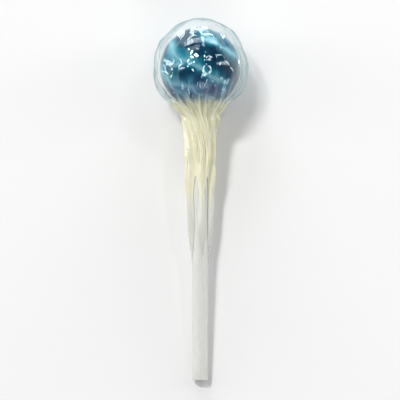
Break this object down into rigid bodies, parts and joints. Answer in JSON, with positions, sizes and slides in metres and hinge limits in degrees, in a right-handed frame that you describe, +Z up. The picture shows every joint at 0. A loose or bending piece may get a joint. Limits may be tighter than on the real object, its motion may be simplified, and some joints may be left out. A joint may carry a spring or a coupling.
{
  "type": "wrapped ball lollipop",
  "caption": "Ball of marbled blue boiled sugar on a hollow white plastic stick, in clear film gathered and twisted round the stick, lying on its side.",
  "frame": {"origin": "middle of the flat spot of film that the ball rests on, on the table right below the ball's centre", "axes": "+Y from the stick towards the ball, +Z up from the table, +X across the stick"},
  "size_m": [0.0232, 0.0903, 0.0224],
  "materials": {
    "candy": "translucent boiled sugar, smooth and glossy, marbled in teal, deep blue and a little violet",
    "stick_plastic": "extruded white polypropylene tube, satin",
    "clear_film": "clear wrapping film, glossy, cream where it is gathered in many layers"
  },
  "bodies": {
    "root": {"candy_ball": "candy", "stick": "stick_plastic", "wrapper": "clear_film"}
  },
  "joints": []
}
